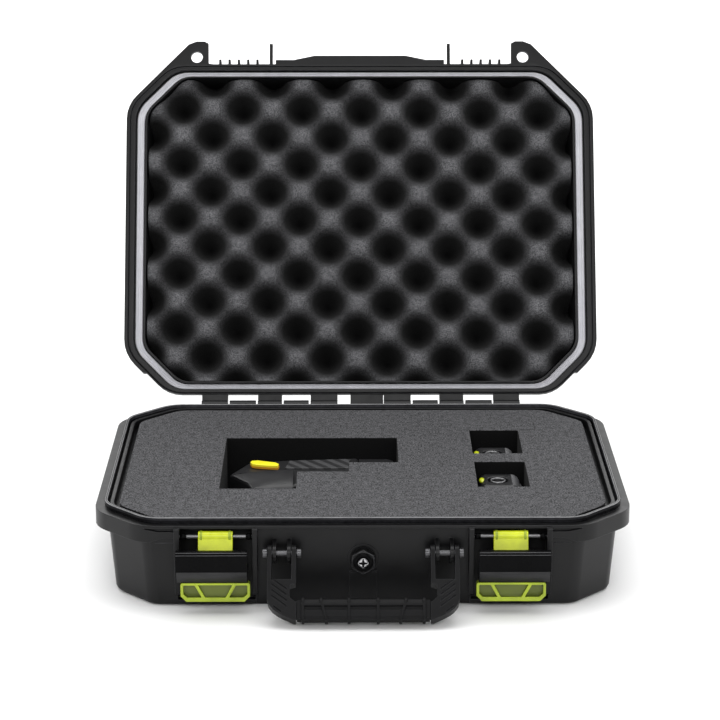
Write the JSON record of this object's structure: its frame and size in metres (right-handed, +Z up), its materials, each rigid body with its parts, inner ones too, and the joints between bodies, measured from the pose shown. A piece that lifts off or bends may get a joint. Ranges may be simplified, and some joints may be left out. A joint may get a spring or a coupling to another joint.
{
  "type": "cased handheld tool kit",
  "caption": "Open hard-shell case with hinged egg-crate-foam lid, two over-centre latches and a swing handle, holding a pistol-shaped tool and two plug-in modules in cut foam.",
  "frame": {"origin": "centre of the base shell's flat bottom face", "axes": "+Z up, +X to the right seen from the latches, +Y from the latches to the hinge; the lid is stored open"},
  "size_m": [0.4308, 0.5404, 0.3744],
  "materials": {
    "shell_plastic": "satin",
    "black_plastic": "satin",
    "pluck_foam": "matte",
    "egg_crate_foam": "matte",
    "gasket_rubber": "satin",
    "lime_plastic": "satin",
    "yellow_plastic": "satin",
    "steel": "satin",
    "grip_rubber": "matte",
    "carbon_weave": "satin"
  },
  "bodies": {
    "base": {"lower_shell": "shell_plastic", "base_foam_pad": "pluck_foam", "base_foam_insert": "pluck_foam", "hinge_pin_left": "steel", "hinge_pin_right": "steel", "handle_pin_left": "steel", "handle_pin_right": "steel", "latch_left_pin": "steel", "latch_right_pin": "steel", "valve_body": "black_plastic", "valve_seal": "grip_rubber"},
    "lid": {"upper_shell": "shell_plastic", "lid_gasket": "gasket_rubber", "lid_foam": "egg_crate_foam"},
    "handle": {"handle_frame": "shell_plastic", "handle_grip": "grip_rubber"},
    "valve_screw": {"valve_screw": "steel"},
    "latch_left_link": {"latch_left_link": "lime_plastic"},
    "latch_right_link": {"latch_right_link": "lime_plastic"},
    "latch_left_lever": {"latch_left_lever": "black_plastic", "latch_left_pull": "lime_plastic", "latch_left_arm_pin": "steel"},
    "latch_right_lever": {"latch_right_lever": "black_plastic", "latch_right_pull": "lime_plastic", "latch_right_arm_pin": "steel"},
    "tool": {"tool_housing_lower": "black_plastic", "tool_housing_upper": "black_plastic", "tool_side_panel": "carbon_weave", "tool_screw_1": "steel", "tool_screw_2": "steel", "tool_screw_3": "steel", "tool_trigger_pin": "steel", "tool_trigger_spring": "steel", "tool_battery": "black_plastic", "tool_front_module": "black_plastic", "tool_front_strip": "yellow_plastic", "tool_port_ring": "steel"},
    "tool_trigger": {"tool_trigger": "yellow_plastic"},
    "tool_lever": {"tool_lever": "yellow_plastic"},
    "module_front": {"module_front_case": "black_plastic", "module_front_ring": "steel", "module_front_plug": "grip_rubber", "module_front_clip": "black_plastic"},
    "module_front_button": {"module_front_button": "yellow_plastic"},
    "module_rear": {"module_rear_case": "black_plastic", "module_rear_ring": "steel", "module_rear_plug": "grip_rubber", "module_rear_clip": "black_plastic"},
    "module_rear_button": {"module_rear_button": "yellow_plastic"}
  },
  "joints": [
    {"name": "lid_hinge", "type": "hinge", "parent": "base", "child": "lid", "pos_m": [0, 0.165, 0.0653], "axis": [-1, 0, 0], "range_deg": [-114.7, 0]},
    {"name": "handle_swing", "type": "hinge", "parent": "base", "child": "handle", "pos_m": [0, -0.1585, 0.0466], "axis": [-1, 0, 0], "range_deg": [-15, 105]},
    {"name": "valve_turn", "type": "hinge", "parent": "base", "child": "valve_screw", "pos_m": [0, -0.155, 0.0384], "axis": [0, -1, 0], "range_deg": [0, 90]},
    {"name": "latch_left_link_swing", "type": "hinge", "parent": "base", "child": "latch_left_link", "pos_m": [-0.1157, -0.1532, 0.0587], "axis": [-1, 0, 0], "range_deg": [0, 50]},
    {"name": "latch_left_lever_swing", "type": "hinge", "parent": "latch_left_link", "child": "latch_left_lever", "pos_m": [-0.1157, -0.158, 0.0465], "axis": [-1, 0, 0], "range_deg": [0, 45]},
    {"name": "latch_right_link_swing", "type": "hinge", "parent": "base", "child": "latch_right_link", "pos_m": [0.1157, -0.1532, 0.0587], "axis": [-1, 0, 0], "range_deg": [0, 50]},
    {"name": "latch_right_lever_swing", "type": "hinge", "parent": "latch_right_link", "child": "latch_right_lever", "pos_m": [0.1157, -0.158, 0.0465], "axis": [-1, 0, 0], "range_deg": [0, 45]},
    {"name": "tool_lift", "type": "slide", "parent": "base", "child": "tool", "axis": [0, 0, 1], "range_m": [0, 0.1]},
    {"name": "trigger_pull", "type": "hinge", "parent": "tool", "child": "tool_trigger", "pos_m": [-0.0415, 0.011, 0.0374], "axis": [0, 0, -1], "range_deg": [0, 10], "stiffness_Nm_per_rad": 0.05, "springref_deg": -5.73},
    {"name": "tool_lever_turn", "type": "hinge", "parent": "tool", "child": "tool_lever", "pos_m": [-0.0905, 0.026, 0.0545], "axis": [0, 0, 1], "range_deg": [0, 35]},
    {"name": "module_front_lift", "type": "slide", "parent": "base", "child": "module_front", "axis": [0, 0, 1], "range_m": [0, 0.08]},
    {"name": "module_front_button_press", "type": "slide", "parent": "module_front", "child": "module_front_button", "axis": [0, 0, -1], "range_m": [0, 0.0012], "stiffness_N_per_m": 300, "springref_m": -0.001},
    {"name": "module_rear_lift", "type": "slide", "parent": "base", "child": "module_rear", "axis": [0, 0, 1], "range_m": [0, 0.08]},
    {"name": "module_rear_button_press", "type": "slide", "parent": "module_rear", "child": "module_rear_button", "axis": [0, 0, -1], "range_m": [0, 0.0012], "stiffness_N_per_m": 300, "springref_m": -0.001}
  ]
}
